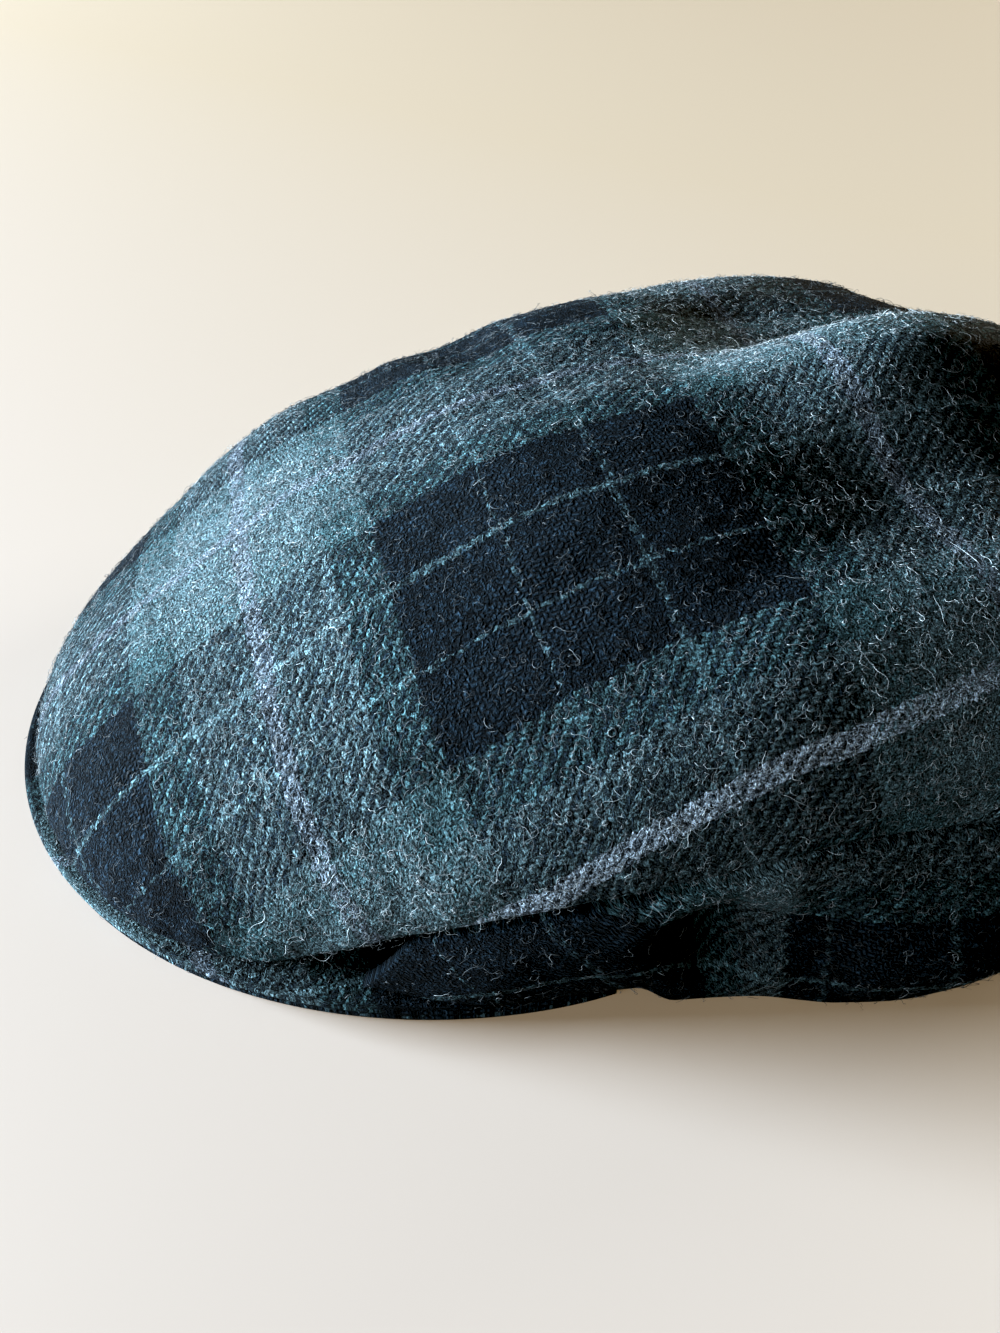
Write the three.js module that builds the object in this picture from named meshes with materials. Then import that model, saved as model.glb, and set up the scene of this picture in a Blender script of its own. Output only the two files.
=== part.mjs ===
// A flat cap in wool cloth, lying on a surface: a domed top panel, two side panels and a two-layer peak.
// Millimetres. +Z is up and the peak points along -Y. "Back" is the distance behind the tip of the peak,
// and "out" is the distance from the middle line, positive on the wearer's left.

import * as THREE from 'three';
import { mergeVertices } from 'three/addons/utils/BufferGeometryUtils.js';

// Driving dimensions
const CLOTH = 2.0;              // thickness of the wool cloth
const HEM = 3.4;                // thickness of the turned-up hem
const GAP = 0.3;                // clearance between two sewn pieces

// Peak: half an ellipse in plan, with a curved inner edge that borders the head opening
const PEAK_LENGTH = 97.7;       // from the tip back to the widest line
const PEAK_HALF_WIDTH = 86.7;
const PEAK_INNER_BACK = 68;     // inner edge on the middle line, behind the tip
const PEAK_INNER_SWEEP = 30;    // how much further back the inner edge ends at the sides
const PEAK_INNER_HALF_WIDTH = 84;
const PEAK_UNDER_INSET = 0.6;   // the under cover stops short of the rim
const PEAK_UNDER_TOP = 2.1;
const PEAK_TOP_BASE = PEAK_UNDER_TOP + GAP;
const PEAK_TOP = 4.5;
const ON_PEAK = PEAK_TOP + GAP; // height of what is sewn on top of the peak

// Top panel: a dome over the seam loop
const DOME_FRONT = 3;
const DOME_BACK = 259;
const DOME_MIDDLE = (DOME_FRONT + DOME_BACK) / 2;
const DOME_HALF_LENGTH = (DOME_BACK - DOME_FRONT) / 2;
const DOME_FULLNESS = 2.3;      // exponent: a higher one is flatter on top
const DOME_ROLL = 0.56;         // exponent: a lower one is rounder at the edge

// Width of the seam loop: position from -1 at its front to 1 at its back, and the ellipse's half width there
// on the wearer's left and right. The crown lies a little towards the right in front.
const LOOP_ROWS = [
  { position: -1.0, left: 107, right: 110 },
  { position: -0.5, left: 87.5, right: 96 },
  { position: 0.0, left: 91, right: 90 },
  { position: 0.5, left: 109, right: 108 },
  { position: 1.0, left: 117, right: 117 },
];

// Height of the seam loop, and the height that the dome over it aims for
const SEAM_ROWS = [
  { back: 0, height: ON_PEAK, crest: 44 },
  { back: 38, height: ON_PEAK, crest: 51 },
  { back: 52, height: 9, crest: 54 },
  { back: 70, height: 16.5, crest: 59 },
  { back: 97, height: 25, crest: 65.5 },
  { back: 137, height: 33, crest: 72 },
  { back: 177, height: 35, crest: 74 },
  { back: 217, height: 38, crest: 76 },
  { back: 260, height: 42, crest: 80 },
];

// Soft dents and swellings of the top panel
const TOP_FOLDS = [
  { name: 'right shoulder', out: -58, back: 50, halfOut: 36, halfBack: 38, lift: 7.5 },
  { name: 'right kink', out: -55, back: 109, halfOut: 39, halfBack: 16, lift: -4 },
  { name: 'middle valley', out: -6, back: 152, halfOut: 22, halfBack: 62, lift: -2 },
  { name: 'right valley', out: -21, back: 174, halfOut: 27, halfBack: 39, lift: -4.6 },
  { name: 'rear ridge', out: 17.5, back: 188, halfOut: 34, halfBack: 61, lift: 11 },
  { name: 'ridge foot', out: 37, back: 178, halfOut: 18, halfBack: 36, lift: -2 },
  { name: 'rear saddle', out: -34, back: 223, halfOut: 38, halfBack: 20, lift: -5.5 },
  { name: 'right hump', out: -64, back: 199, halfOut: 26, halfBack: 40, lift: 2 },
  { name: 'left shoulder', out: 80, back: 160, halfOut: 27, halfBack: 71, lift: 8.5 },
  { name: 'left trough', out: 50, back: 152, halfOut: 42, halfBack: 32, lift: -1.7 },
  { name: 'left edge', out: 90, back: 113, halfOut: 24, halfBack: 47, lift: 3.4 },
  { name: 'left dent', out: 77, back: 73, halfOut: 23, halfBack: 35, lift: -6 },
  { name: 'front swelling', out: 20, back: 110, halfOut: 50, halfBack: 40, lift: 2 },
];

// Side panels: sections from the front corner (0) to the centre back (1), and where the lower edge runs there.
// The last row lies past the centre back, so that the edge rounds it smoothly.
const SIDE_FRONT = 65;          // front end of the seam between a side panel and the top panel
const SIDE_ROWS = [
  { section: 0.0, out: 75, back: 56, swell: 1.0 },
  { section: 0.1, out: 84.5, back: 75, swell: 2.0 },
  { section: 0.2, out: 88, back: 97, swell: 3.5 },
  { section: 0.3, out: 93, back: 119, swell: 4.0 },
  { section: 0.36, out: 98.5, back: 132, swell: 3.5 },
  { section: 0.42, out: 101, back: 147, swell: 3.5 },
  { section: 0.56, out: 98, back: 183, swell: 5.0 },
  { section: 0.72, out: 80, back: 224, swell: 6.5 },
  { section: 0.86, out: 46, back: 253, swell: 7.5 },
  { section: 1.0, out: 0, back: 264, swell: 8.0 },
  { section: 1.14, out: -46, back: 253, swell: 7.5 },
];
const HEM_LEAVES_PEAK = 99;     // the lower edge comes down from the peak between these two
const HEM_ON_SURFACE = 106;

// Folds of the side panels: depth runs from 0 at the seam to 1 at the hem
const LEFT_FOLDS = [
  { name: 'tuck over the hem', back: 113, halfBack: 17, depth: 0.5, halfDepth: 0.42, out: -8 },
  { name: 'crease', back: 128, halfBack: 9, depth: 0.5, halfDepth: 0.5, out: -3 },
  { name: 'pouch', back: 150, halfBack: 28, depth: 0.68, halfDepth: 0.4, out: 3 },
];
const RIGHT_FOLDS = [
  { name: 'tuck over the hem', back: 122, halfBack: 20, depth: 0.5, halfDepth: 0.42, out: -5 },
  { name: 'pouch', back: 164, halfBack: 30, depth: 0.6, halfDepth: 0.4, out: 2.5 },
];

// How finely each piece is divided: along it and across it
const TOP_STEPS = [34, 34];
const SIDE_STEPS = [56, 8];
const PEAK_STEPS = [40, 5];

// Smooth curve through the rows of a table, with no overshoot between them
function readTable(rows, key, value, at) {
  const xs = rows.map((row) => row[key]);
  const ys = rows.map((row) => row[value]);
  const slopes = xs.slice(1).map((x, i) => (ys[i + 1] - ys[i]) / (x - xs[i]));
  const tangent = (i) => {
    if (i === 0) return slopes[0];
    if (i === xs.length - 1) return slopes[i - 1];
    const product = slopes[i - 1] * slopes[i];
    return product <= 0 ? 0 : (2 * product) / (slopes[i - 1] + slopes[i]);
  };
  const x = THREE.MathUtils.clamp(at, xs[0], xs[xs.length - 1]);
  let i = 0;
  while (i < xs.length - 2 && x > xs[i + 1]) i += 1;
  const span = xs[i + 1] - xs[i];
  const t = (x - xs[i]) / span;
  const start = ys[i] * (1 + 2 * t) * (1 - t) ** 2 + tangent(i) * span * t * (1 - t) ** 2;
  const end = ys[i + 1] * t * t * (3 - 2 * t) + tangent(i + 1) * span * t * t * (t - 1);
  return start + end;
}

// A round bump: 1 in the middle, fading to 0 where the two scaled distances reach 1
function bump(first, second) {
  const distance = first * first + second * second;
  return distance < 1 ? (1 - distance) ** 2 : 0;
}

const seamHeight = (back) => readTable(SEAM_ROWS, 'back', 'height', back);
const crestHeight = (back) => readTable(SEAM_ROWS, 'back', 'crest', back);
const loopHalfWidth = (side, position) => readTable(LOOP_ROWS, 'position', side, position);

// A point of the dome for disc coordinates (u, v); inset makes the same dome smaller all round
function domePoint(u, v, inset) {
  const back = DOME_MIDDLE + (DOME_HALF_LENGTH - inset) * v;
  const out = u * (loopHalfWidth(u < 0 ? 'right' : 'left', v) - inset);
  const radius = Math.min(Math.hypot(u, v), 1);
  const full = crestHeight(back) - seamHeight(back) - inset;
  const rise = full * (1 - radius ** DOME_FULLNESS) ** DOME_ROLL;
  let lift = 0;
  for (const fold of TOP_FOLDS) {
    lift += fold.lift * bump((out - fold.out) / fold.halfOut, (back - fold.back) / fold.halfBack);
  }
  return new THREE.Vector3(out, back, seamHeight(back) + rise + lift * (1 - radius ** 4));
}

// The square slab becomes a disc, with its steps closer together towards the edge
function topPanelPoint(s, t, layer) {
  const across = Math.sin((s * Math.PI) / 2);
  const along = Math.sin((t * Math.PI) / 2);
  const u = across * Math.sqrt(1 - (along * along) / 2);
  const v = along * Math.sqrt(1 - (across * across) / 2);
  return domePoint(u, v, layer * CLOTH);
}

// Where the side panel's upper edge runs, just below the edge of the top panel
function seamPoint(side, section) {
  const front = Math.acos((DOME_MIDDLE - SIDE_FRONT) / DOME_HALF_LENGTH);
  const angle = front + (Math.PI - front) * section;
  const v = -Math.cos(angle);
  const back = DOME_MIDDLE + DOME_HALF_LENGTH * v;
  return new THREE.Vector3(loopHalfWidth(side, v) * Math.sin(angle), back, seamHeight(back) - GAP);
}

// Where its lower edge runs: on the peak in front, then on the surface
function hemPoint(section) {
  const out = readTable(SIDE_ROWS, 'section', 'out', section);
  const back = readTable(SIDE_ROWS, 'section', 'back', section);
  const lowered = THREE.MathUtils.smoothstep(back, HEM_LEAVES_PEAK, HEM_ON_SURFACE);
  return new THREE.Vector3(out, back, ON_PEAK * (1 - lowered));
}

// Level direction that points out of the cap at a section
function outward(side, section) {
  const step = 0.02;
  const middle = (at) => seamPoint(side, at).add(hemPoint(at));
  const along = middle(section + step).sub(middle(Math.max(section - step, 0)));
  return new THREE.Vector3(along.y, -along.x, 0).normalize();
}

function sidePanelPoint(side, folds, s, t, layer) {
  const section = (s + 1) / 2;
  const depth = (1 - t) / 2;
  const point = seamPoint(side, section).lerp(hemPoint(section), depth);
  let swell = readTable(SIDE_ROWS, 'section', 'swell', section) * 4 * depth * (1 - depth);
  for (const fold of folds) {
    swell += fold.out * bump((point.y - fold.back) / fold.halfBack, (depth - fold.depth) / fold.halfDepth);
  }
  const thickness = THREE.MathUtils.lerp(CLOTH, HEM, depth ** 2);
  point.addScaledVector(outward(side, section), swell - layer * thickness);
  point.x = Math.max(point.x, 0) + GAP / 2;
  return point;
}

// A plate between the peak's rim and its inner edge, from one height to another
function peakPoint(inset, base, top, s, t, layer) {
  const angle = (s * Math.PI) / 2;
  const inward = (1 - t) / 2;
  const rimOut = (PEAK_HALF_WIDTH - inset) * Math.sin(angle);
  const rimBack = PEAK_LENGTH - (PEAK_LENGTH - inset) * Math.cos(angle);
  const innerOut = PEAK_INNER_HALF_WIDTH * Math.sin(angle);
  const innerBack = PEAK_INNER_BACK + PEAK_INNER_SWEEP * Math.sin(angle) ** 2;
  return new THREE.Vector3(
    THREE.MathUtils.lerp(rimOut, innerOut, inward),
    THREE.MathUtils.lerp(rimBack, innerBack, inward),
    layer === 0 ? top : base,
  );
}

// A flat slab is divided into steps and each corner moved by place(s, t, layer): s and t run from -1 to 1
// over the slab, and layer is 0 on its outer face and 1 on its inner one
function bentSlab([alongSteps, acrossSteps], place, mirrored) {
  const slab = new THREE.BoxGeometry(2, 2, 1, alongSteps, acrossSteps, 1);
  slab.deleteAttribute('normal');
  slab.deleteAttribute('uv');
  const geometry = mergeVertices(slab);
  const corners = geometry.getAttribute('position');
  for (let i = 0; i < corners.count; i += 1) {
    const point = place(corners.getX(i), corners.getY(i), 0.5 - corners.getZ(i));
    corners.setXYZ(i, mirrored ? -point.x : point.x, point.y, point.z);
  }
  return geometry;
}

// Each triangle turned over, for a slab whose bending has turned it inside out
function turnOver(geometry) {
  const index = geometry.getIndex();
  for (let i = 0; i < index.count; i += 3) {
    const first = index.getX(i);
    index.setX(i, index.getX(i + 1));
    index.setX(i + 1, first);
  }
  return geometry;
}

function clothMesh(name, color, geometry) {
  const material = new THREE.MeshStandardMaterial({ color, roughness: 0.95, metalness: 0 });
  geometry.computeVertexNormals();
  const mesh = new THREE.Mesh(geometry, material);
  mesh.name = name;
  return mesh;
}

const NAVY_AND_BLUE = 0x5a7186;
const NAVY = 0x2f3b4d;

const topPanel = bentSlab(TOP_STEPS, topPanelPoint, false);
const leftPanel = bentSlab(SIDE_STEPS, (...at) => sidePanelPoint('left', LEFT_FOLDS, ...at), false);
const rightPanel = bentSlab(SIDE_STEPS, (...at) => sidePanelPoint('right', RIGHT_FOLDS, ...at), true);
const peakTop = bentSlab(PEAK_STEPS, (...at) => peakPoint(0, PEAK_TOP_BASE, PEAK_TOP, ...at), false);
const peakUnder = bentSlab(PEAK_STEPS, (...at) => peakPoint(PEAK_UNDER_INSET, 0, PEAK_UNDER_TOP, ...at), false);

const cap = new THREE.Group();
cap.add(clothMesh('top_panel', NAVY_AND_BLUE, topPanel));
cap.add(clothMesh('side_panel_left', NAVY, leftPanel));
cap.add(clothMesh('side_panel_right', NAVY, turnOver(rightPanel)));
cap.add(clothMesh('peak_top', NAVY_AND_BLUE, turnOver(peakTop)));
cap.add(clothMesh('peak_under', NAVY, turnOver(peakUnder)));

// The origin is the middle of the base
const box = new THREE.Box3().setFromObject(cap);
const middle = box.getCenter(new THREE.Vector3());
cap.position.set(-middle.x, -middle.y, -box.min.z);

export default cap;
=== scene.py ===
# %% [markdown]
# A wool flat cap in a blue plaid, lying on a pale table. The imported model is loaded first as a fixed
# frame in metres: +Z is up, the peak points along -Y and the wearer's left is +X. Its solids carry the
# weight and the collision, so they have the right sizes but plain surfaces. Each cell below makes one
# cloth piece or one finish that stands for them in the picture.

import bmesh
import bpy
import numpy as np
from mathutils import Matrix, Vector


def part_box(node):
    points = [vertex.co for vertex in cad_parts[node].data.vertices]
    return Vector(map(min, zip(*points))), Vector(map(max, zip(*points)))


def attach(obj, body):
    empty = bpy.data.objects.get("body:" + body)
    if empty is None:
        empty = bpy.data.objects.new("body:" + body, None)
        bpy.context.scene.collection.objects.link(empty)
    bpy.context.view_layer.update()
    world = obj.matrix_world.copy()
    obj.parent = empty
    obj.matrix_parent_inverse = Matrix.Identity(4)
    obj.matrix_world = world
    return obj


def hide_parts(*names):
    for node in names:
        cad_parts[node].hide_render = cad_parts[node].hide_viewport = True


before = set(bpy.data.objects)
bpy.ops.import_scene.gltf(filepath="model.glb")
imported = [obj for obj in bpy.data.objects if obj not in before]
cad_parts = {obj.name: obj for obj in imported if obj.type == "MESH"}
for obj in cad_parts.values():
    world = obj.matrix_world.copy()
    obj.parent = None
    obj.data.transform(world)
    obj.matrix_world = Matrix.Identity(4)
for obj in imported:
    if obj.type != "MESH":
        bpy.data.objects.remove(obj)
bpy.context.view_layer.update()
print("nodes:", ", ".join(sorted(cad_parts)))

# %% [markdown]
# The cap's sizes are easier to read in millimetres, measured as a hatter would: "back" is the distance
# behind the tip of the peak and "out" the distance from the middle line. The peak's upper cover is
# symmetrical, so its box tells where the tip and the middle line are in the frame.

# %% Millimetres on the cap to metres in the frame
MM = 0.001
peak_low, peak_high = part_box("peak_top")
tip_y = peak_low[1]
middle_x = (peak_low[0] + peak_high[0]) / 2


def in_frame(points):
    """Rows of (out, back, height) in millimetres become rows of (x, y, z) in metres."""
    return points * MM + np.array([middle_x, tip_y, 0.0])


print("middle line at x =", round(1000 * middle_x, 2), "mm, tip at y =", round(1000 * tip_y, 1), "mm")

# %% [markdown]
# The camera stands where a phone is held, close to the cap and to its left, looking down at the crown. A
# close camera makes the near side large and lets the crown run out of the picture on the right, which no
# crop of a distant view can do, so the lens is wide and nothing is shifted. A phone's picture also has
# more contrast than a plain one: a gamma below 1 darkens the middle tones, and a small black level closes
# the deepest shade.

# %% Camera
EYE = Vector((0.1760, -0.0857, 0.1566))
TURN = np.radians(72.86)
LOOK_DOWN = np.radians(39.71)
LENS_MM = 28.05
SENSOR_MM = 36
NEAREST = 0.005
GAMMA = 0.76
BLACK_LEVEL = (0.010, 0.013, 0.017)

camera = bpy.data.objects.new("camera", bpy.data.cameras.new("camera"))
bpy.context.scene.collection.objects.link(camera)
level = np.cos(LOOK_DOWN)
gaze = Vector((-np.sin(TURN) * level, np.cos(TURN) * level, -np.sin(LOOK_DOWN)))
camera.location = EYE
camera.rotation_mode = "QUATERNION"
camera.rotation_quaternion = gaze.to_track_quat("-Z", "Y")
camera.data.lens = LENS_MM
camera.data.sensor_width = SENSOR_MM
camera.data.clip_start = NEAREST
bpy.context.scene.camera = camera
picture = bpy.context.scene.view_settings
picture.view_transform = "Standard"
picture.gamma = GAMMA
picture.use_curve_mapping = True
picture.curve_mapping.black_level = BLACK_LEVEL
picture.curve_mapping.update()

# %% [markdown]
# The crown hangs from one closed loop, the seam between its top panel and its sides. Short tables give
# the loop's width and height and the height of the crown over it, and a smooth curve runs through their
# rows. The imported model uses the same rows, so the cloth here lies exactly where its solids are.

# %% Reading a table of sizes
def read_table(rows, column, at):
    """A smooth curve through a table's rows, with no overshoot; the table's first column is the key."""
    keys = np.array(next(iter(rows.values())), float)
    values = np.array(rows[column], float)
    slopes = np.diff(values) / np.diff(keys)
    product = slopes[:-1] * slopes[1:]
    total = np.where(product > 0, slopes[:-1] + slopes[1:], 1)
    inner = np.where(product > 0, 2 * product / total, 0)
    tangents = np.concatenate([slopes[:1], inner, slopes[-1:]])
    x = np.clip(at, keys[0], keys[-1])
    i = np.clip(np.searchsorted(keys, x) - 1, 0, len(keys) - 2)
    span = np.diff(keys)[i]
    t = (x - keys[i]) / span
    start = values[i] * (1 + 2 * t) * (1 - t) ** 2 + tangents[i] * span * t * (1 - t) ** 2
    end = values[i + 1] * t * t * (3 - 2 * t) + tangents[i + 1] * span * t * t * (t - 1)
    return start + end


def bump(first, second):
    """A round bump: 1 in the middle, 0 where the two scaled distances reach 1."""
    distance = np.minimum(first * first + second * second, 1)
    return (1 - distance) ** 2


# %% Sizes of the crown
CLOTH = 2.0
HEM = 3.4
GAP = 0.3
ON_PEAK = 4.8
DOME_MIDDLE = 131
DOME_HALF_LENGTH = 128
DOME_FULLNESS = 2.3
DOME_ROLL = 0.56
LOOP_ROWS = {
    "position": (-1, -0.5, 0, 0.5, 1),
    "left": (107, 87.5, 91, 109, 117),
    "right": (110, 96, 90, 108, 117),
}
SEAM_ROWS = {
    "back": (0, 38, 52, 70, 97, 137, 177, 217, 260),
    "height": (ON_PEAK, ON_PEAK, 9, 16.5, 25, 33, 35, 38, 42),
    "crest": (44, 51, 54, 59, 65.5, 72, 74, 76, 80),
}
TOP_FOLDS = {
    "right shoulder": {"out": -58, "back": 50, "half_out": 36, "half_back": 38, "lift": 7.5},
    "right kink": {"out": -55, "back": 109, "half_out": 39, "half_back": 16, "lift": -4},
    "middle valley": {"out": -6, "back": 152, "half_out": 22, "half_back": 62, "lift": -2},
    "right valley": {"out": -21, "back": 174, "half_out": 27, "half_back": 39, "lift": -4.6},
    "rear ridge": {"out": 17.5, "back": 188, "half_out": 34, "half_back": 61, "lift": 11},
    "ridge foot": {"out": 37, "back": 178, "half_out": 18, "half_back": 36, "lift": -2},
    "rear saddle": {"out": -34, "back": 223, "half_out": 38, "half_back": 20, "lift": -5.5},
    "right hump": {"out": -64, "back": 199, "half_out": 26, "half_back": 40, "lift": 2},
    "left shoulder": {"out": 80, "back": 160, "half_out": 27, "half_back": 71, "lift": 8.5},
    "left trough": {"out": 50, "back": 152, "half_out": 42, "half_back": 32, "lift": -1.7},
    "left edge": {"out": 90, "back": 113, "half_out": 24, "half_back": 47, "lift": 3.4},
    "left dent": {"out": 77, "back": 73, "half_out": 23, "half_back": 35, "lift": -6},
    "front swelling": {"out": 20, "back": 110, "half_out": 50, "half_back": 40, "lift": 2},
}


def loop_half_width(side, position):
    """Half width of the seam loop, from -1 at its front to 1 at its rear."""
    return read_table(LOOP_ROWS, side, position)


def seam_height(back):
    """Height of the seam over the table."""
    return read_table(SEAM_ROWS, "height", back)


print("crown from", DOME_MIDDLE - DOME_HALF_LENGTH, "to", DOME_MIDDLE + DOME_HALF_LENGTH, "mm behind the tip")

# %% [markdown]
# The top panel is one piece of cloth that was steamed over a block. A cloth simulation could drape it,
# but the folds of a worn cap come from years of handling, so the dome is written as a formula: it rises
# steeply from the seam, is nearly flat on top, and has a few broad dents.

# %% The dome
def dome(u, v, inset):
    """Points of the crown for disc coordinates; inset makes the same dome smaller all round."""
    back = DOME_MIDDLE + (DOME_HALF_LENGTH - inset) * v
    half_width = np.where(u < 0, loop_half_width("right", v), loop_half_width("left", v))
    out = u * (half_width - inset)
    radius = np.minimum(np.hypot(u, v), 1)
    full = read_table(SEAM_ROWS, "crest", back) - seam_height(back) - inset
    lift = sum(
        fold["lift"] * bump((out - fold["out"]) / fold["half_out"], (back - fold["back"]) / fold["half_back"])
        for fold in TOP_FOLDS.values()
    )
    rise = full * (1 - radius**DOME_FULLNESS) ** DOME_ROLL + lift * (1 - radius**4)
    return np.stack([out, back, seam_height(back) + rise], axis=-1)


def disc(s, t):
    """A square's corners are pulled in to make a disc, with closer steps towards its edge."""
    across = np.sin(s * np.pi / 2)
    along = np.sin(t * np.pi / 2)
    return across * np.sqrt(1 - along**2 / 2), along * np.sqrt(1 - across**2 / 2)


crest = dome(np.zeros(1), np.zeros(1), 0.0)[0]
print("crown above the middle of the cap:", round(crest[2], 1), "mm high")

# %% [markdown]
# Wool that has been worn is never a clean formula. A handful of slow waves, each with its own direction
# and length, adds lumps of under a millimetre. The waves are drawn once from a seeded generator, so every
# run gives the same cap.

# %% Soft lumps
LUMP_LENGTHS = (46, 38, 31, 27, 22, 19, 15, 12)
LUMP_SUM = 2.6
lump_random = np.random.default_rng(11)
lump_headings = lump_random.uniform(0, np.pi, len(LUMP_LENGTHS))
lump_phases = lump_random.uniform(0, 2 * np.pi, len(LUMP_LENGTHS))


def lumps(first, second):
    """Slow unevenness of a cloth face, roughly between -1 and 1, for two distances in millimetres."""
    total = 0
    for length, heading, phase in zip(LUMP_LENGTHS, lump_headings, lump_phases):
        run = first * np.cos(heading) + second * np.sin(heading)
        total = total + (length / LUMP_LENGTHS[0]) * np.sin(2 * np.pi * run / length + phase)
    return total / LUMP_SUM


print("lumps:", len(LUMP_LENGTHS), "waves of", LUMP_LENGTHS[-1], "to", LUMP_LENGTHS[0], "mm")

# %% [markdown]
# The plaid has to follow the cloth over the dome, so each point needs its place on the flat cloth.
# Threads don't stretch, so that place is measured along the surface: how far the point lies from the
# middle line, going across, and how far from one cross line, going along. The panel was cut a few degrees
# off the grain and pulled a little as it was sewn, which a small turn and two slight bows repeat. A third
# term draws the rows on the near side up towards the rear.

# %% Where a point of the dome lies on the flat cloth
CROSS_LINE_BACK = 137
OFF_GRAIN = 0.067
BOW_SPAN = 100
BOW_ALONG = -7.0
BOW_ACROSS = -6.2
NEAR_PULL = 14
PULL_TURNS_AT = -31
PULL_LIMITS = (-0.25, 0.6)
PLAID_START_ALONG = -64.3
PLAID_START_ACROSS = 16.8
PATH_STEPS = np.linspace(0, 1, 41)


def path_length(u, v):
    """Length of each row of dome points, in millimetres."""
    return np.linalg.norm(np.diff(dome(u, v, 0.0), axis=-2), axis=-1).sum(axis=-1)


def cloth_on_dome(u, v):
    """Distances along and across the cloth, in millimetres, from the corner of a plaid square."""
    edge_u = np.sqrt(np.maximum(1 - v * v, 1e-9))
    angle_u = np.arcsin(np.clip(u / edge_u, -1, 1))
    path_u = edge_u[:, None] * np.sin(angle_u[:, None] * PATH_STEPS)
    across = path_length(path_u, v[:, None] + 0 * path_u) * np.sign(u)
    cross_v = (CROSS_LINE_BACK - DOME_MIDDLE) / DOME_HALF_LENGTH
    edge_v = np.sqrt(np.maximum(1 - u * u, 1e-9))
    first_v = np.arcsin(np.clip(cross_v / edge_v, -1, 1))
    last_v = np.arcsin(np.clip(v / edge_v, -1, 1))
    path_v = edge_v[:, None] * np.sin(first_v[:, None] + (last_v - first_v)[:, None] * PATH_STEPS)
    along = path_length(u[:, None] + 0 * path_v, path_v) * np.sign(v - cross_v)
    turned_along = along * np.cos(OFF_GRAIN) + across * np.sin(OFF_GRAIN)
    turned_along = turned_along + BOW_ALONG * (across / BOW_SPAN) ** 2
    turned_across = across * np.cos(OFF_GRAIN) - along * np.sin(OFF_GRAIN)
    turned_across = turned_across + BOW_ACROSS * (along / BOW_SPAN) ** 2
    pulled = np.clip((along - PULL_TURNS_AT) / BOW_SPAN, *PULL_LIMITS)
    turned_across += NEAR_PULL * (np.maximum(across, 0) / BOW_SPAN) ** 3 * pulled
    return np.stack([turned_along - PLAID_START_ALONG, turned_across - PLAID_START_ACROSS], axis=-1)


half_girth = cloth_on_dome(np.array([0.0, 0.998]), np.array([0.047, 0.047]))
print("cloth from the middle line to the left seam:", round(half_girth[1, 1] - half_girth[0, 1]), "mm")

# %% [markdown]
# Every panel is made in the same way. A flat grid gets a second face and a rim, and each corner is then
# moved to its place on the cap, which is how a tailor thinks of it: cut flat, then shaped. The grid keeps
# the rows of faces in line with the cloth, so shading stays smooth, and the two faces make a real wall.

# %% A shaped panel of cloth
def shaped_panel(name, steps, place, cloth_at, inside_out):
    """A cloth wall from a grid: place(s, t, layer) gives points in mm, cloth_at(s, t) their flat cloth."""
    wall = bmesh.new()
    bmesh.ops.create_grid(wall, x_segments=steps[0], y_segments=steps[1], size=1)
    bmesh.ops.solidify(wall, geom=wall.verts[:] + wall.edges[:] + wall.faces[:], thickness=0.1)
    if inside_out:
        bmesh.ops.reverse_faces(wall, faces=wall.faces[:])
    mesh = bpy.data.meshes.new(name)
    wall.to_mesh(mesh)
    wall.free()
    corners = np.empty(3 * len(mesh.vertices))
    mesh.vertices.foreach_get("co", corners)
    s, t, height = corners.reshape(-1, 3).T
    layer = np.round((height.max() - height) / (height.max() - height.min()))
    mesh.vertices.foreach_set("co", in_frame(place(s, t, layer)).ravel())
    mesh.attributes.new("inner_face", "FLOAT", "POINT").data.foreach_set("value", layer)
    loops = np.empty(len(mesh.loops), int)
    mesh.loops.foreach_get("vertex_index", loops)
    flat_place = cloth_at(s, t)[loops] * MM
    mesh.uv_layers.new(name="cloth").data.foreach_set("uv", flat_place.ravel())
    mesh.polygons.foreach_set("use_smooth", np.ones(len(mesh.polygons), bool))
    mesh.update()
    panel = bpy.data.objects.new(name, mesh)
    bpy.context.scene.collection.objects.link(panel)
    print(name, "has", 2 * len(mesh.polygons), "triangles")
    return panel


def rolled_in(distance, radius):
    """How far a rounded edge has gone in at a distance from its end."""
    left = np.clip(radius - distance, 0, radius)
    return radius - np.sqrt(radius**2 - left**2)


# %% [markdown]
# The top panel's edge is folded under where it is sewn to the sides. That fold is what draws the seam in
# the light: a round edge above, a round edge below and a dark groove between. The stitches pull at it, so
# the cloth puckers slightly along the loop. Towards the rear the seam is pressed flatter, so the fold is
# smaller there.

# %% Top panel
EDGE_ROLL = {"back": (60, 110, 170, 260), "radius": (1.7, 1.7, 0.8, 0.8)}
TOP_LUMP = 0.55
PUCKER = 0.22
PUCKERS_ROUND = 58
PUCKER_ABOVE = 4
PUCKER_REACH = 3.5
MEAN_HALF_WIDTH = 95


def edge_roll(back):
    """Radius of the folded edge: the seam is pressed flat towards the rear."""
    return read_table(EDGE_ROLL, "radius", back)


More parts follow.
